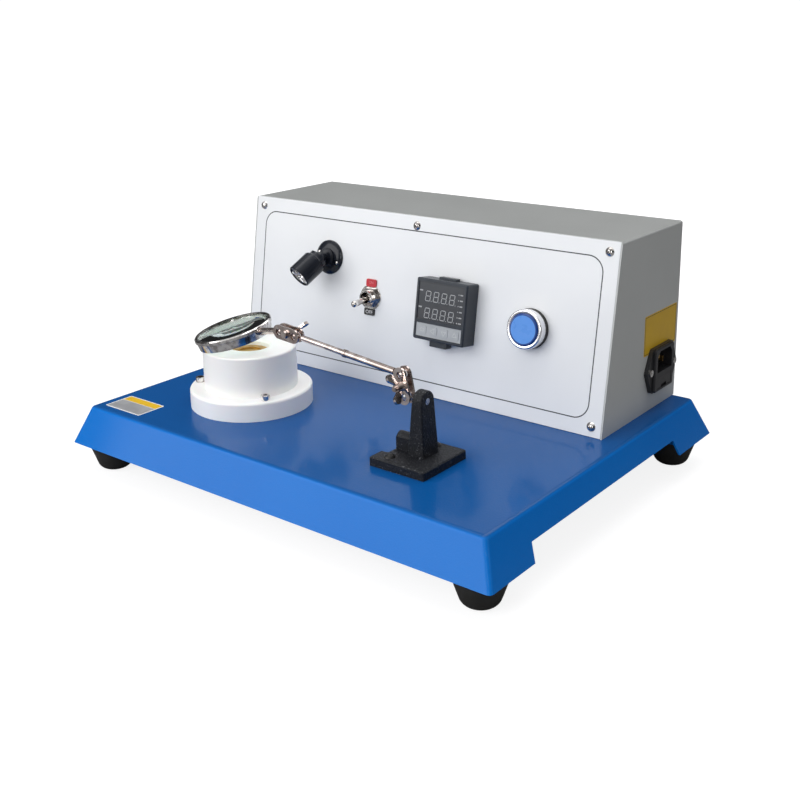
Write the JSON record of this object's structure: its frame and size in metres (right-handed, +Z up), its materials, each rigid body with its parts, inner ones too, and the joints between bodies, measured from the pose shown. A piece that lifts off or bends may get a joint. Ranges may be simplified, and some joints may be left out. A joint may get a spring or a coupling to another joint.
{
  "type": "melting point apparatus",
  "caption": "Bench melting point apparatus: a heated stage in a white insulator, a magnifier on a jointed arm, a swivelling lamp, and a slanted cabinet with a temperature controller.",
  "frame": {"origin": "on the bench under the middle of the base tray", "axes": "+X to the operator's right along the tray, +Y to the back, +Z up"},
  "size_m": [0.3968, 0.3138, 0.1917],
  "materials": {
    "blue_paint": "glossy orange-peel powder coat",
    "grey_paint": "satin",
    "white_panel": "satin print lacquer",
    "rubber": "matt",
    "steel": "zinc plated",
    "chrome": "polished",
    "black_plastic": "glossy",
    "dark_plastic": "matt",
    "window": "clear over dark",
    "keypad": "satin film",
    "button_blue": "translucent",
    "switch_red": "plated with painted tabs",
    "ptfe": "machined",
    "brass": "machined",
    "cast_black": "rough black coat",
    "glass": "clear",
    "lamp_lens": "clear",
    "circuit": "satin",
    "relay": "matt"
  },
  "bodies": {
    "base": {"base_tray": "blue_paint", "corner_plates": "blue_paint", "rubber_feet": "rubber", "foot_screws": "steel", "foot_nuts": "steel", "under_base_nuts": "steel", "cabinet_cover": "grey_paint", "front_panel": "white_panel", "panel_screws": "chrome", "rear_panel": "grey_paint", "rear_screws": "chrome", "cabinet_screws": "steel", "lamp_flange": "black_plastic", "lamp_screws": "chrome", "switch_body": "chrome", "switch_plate": "switch_red", "switch_nut": "chrome", "controller_case": "dark_plastic", "controller_window": "window", "controller_keypad": "keypad", "controller_bracket": "dark_plastic", "button_gasket": "rubber", "button_collar": "chrome", "button_nut": "chrome", "contact_block": "dark_plastic", "inlet_body": "black_plastic", "inlet_pins": "brass", "inlet_screws": "chrome", "stage_housing": "ptfe", "heating_block": "brass", "heater_cartridge": "steel", "sensor_probe": "steel", "stage_screws": "chrome", "bracket": "cast_black", "bracket_screws": "steel", "solid_state_relay": "relay", "lamp_supply": "steel", "terminal_block": "dark_plastic"},
    "lamp_neck": {"lamp_neck": "black_plastic"},
    "lamp_head": {"lamp_head": "black_plastic", "lamp_lens": "lamp_lens", "lamp_led": "circuit"},
    "switch_lever": {"switch_lever": "chrome"},
    "button_cap": {"button_cap": "button_blue"},
    "fuse_drawer": {"fuse_drawer": "black_plastic", "fuse": "glass"},
    "pivot_stud": {"pivot_stud": "steel"},
    "lower_clamp": {"lower_clamp_plates": "chrome", "lower_clamp_screw": "chrome"},
    "lower_wing_nut": {"lower_wing_nut": "chrome"},
    "arm_rod": {"arm_rod": "chrome"},
    "upper_clamp": {"upper_clamp_plates": "chrome", "upper_clamp_screw": "chrome"},
    "upper_wing_nut": {"upper_wing_nut": "chrome"},
    "lens": {"lens_ring": "chrome", "lens_glass": "glass", "lens_rod": "chrome"}
  },
  "joints": [
    {"name": "lamp_pan", "type": "hinge", "parent": "base", "child": "lamp_neck", "pos_m": [-0.09645, 0.04105, 0.14868], "axis": [0, -0.9885, 0.1513], "range_deg": [-90, 90]},
    {"name": "lamp_tilt", "type": "hinge", "parent": "lamp_neck", "child": "lamp_head", "pos_m": [-0.09645, 0.02721, 0.1508], "axis": [0.9524, -0.0461, -0.3012], "range_deg": [-44, 14]},
    {"name": "light_switch", "type": "hinge", "parent": "base", "child": "switch_lever", "pos_m": [-0.04895, 0.03594, 0.12194], "axis": [-1, 0, 0], "range_deg": [0, 25]},
    {"name": "power_button", "type": "slide", "parent": "base", "child": "button_cap", "axis": [0, 0.9885, -0.1513], "range_m": [0, 0.0025], "stiffness_N_per_m": 400},
    {"name": "fuse_drawer_slide", "type": "slide", "parent": "base", "child": "fuse_drawer", "axis": [1, 0, 0], "range_m": [0, 0.016]},
    {"name": "stud_turn", "type": "hinge", "parent": "base", "child": "pivot_stud", "pos_m": [0.079, -0.0805, 0.0975], "axis": [1, 0, 0], "range_deg": [-4, 8]},
    {"name": "lower_clamp_tilt", "type": "hinge", "parent": "pivot_stud", "child": "lower_clamp", "pos_m": [0.079, -0.0805, 0.0975], "axis": [0.0523, 0.9986, 0], "range_deg": [0, 12]},
    {"name": "lower_wing_turn", "type": "hinge", "parent": "lower_clamp", "child": "lower_wing_nut", "pos_m": [0.07725, -0.08041, 0.105], "axis": [-0.0523, -0.9986, 0], "range_deg": [0, 180]},
    {"name": "arm_lift", "type": "hinge", "parent": "lower_clamp", "child": "arm_rod", "pos_m": [0.07551, -0.08032, 0.1125], "axis": [0.0523, 0.9986, 0], "range_deg": [0, 50]},
    {"name": "upper_clamp_tilt", "type": "hinge", "parent": "arm_rod", "child": "upper_clamp", "pos_m": [-0.0275, -0.07492, 0.1201], "axis": [0.0523, 0.9986, 0], "range_deg": [0, 60]},
    {"name": "upper_wing_turn", "type": "hinge", "parent": "upper_clamp", "child": "upper_wing_nut", "pos_m": [-0.03524, -0.07451, 0.12055], "axis": [-0.0523, -0.9986, 0], "range_deg": [0, 180]},
    {"name": "lens_tilt", "type": "hinge", "parent": "upper_clamp", "child": "lens", "pos_m": [-0.04298, -0.07411, 0.121], "axis": [0.0523, 0.9986, 0], "range_deg": [0, 60]}
  ]
}
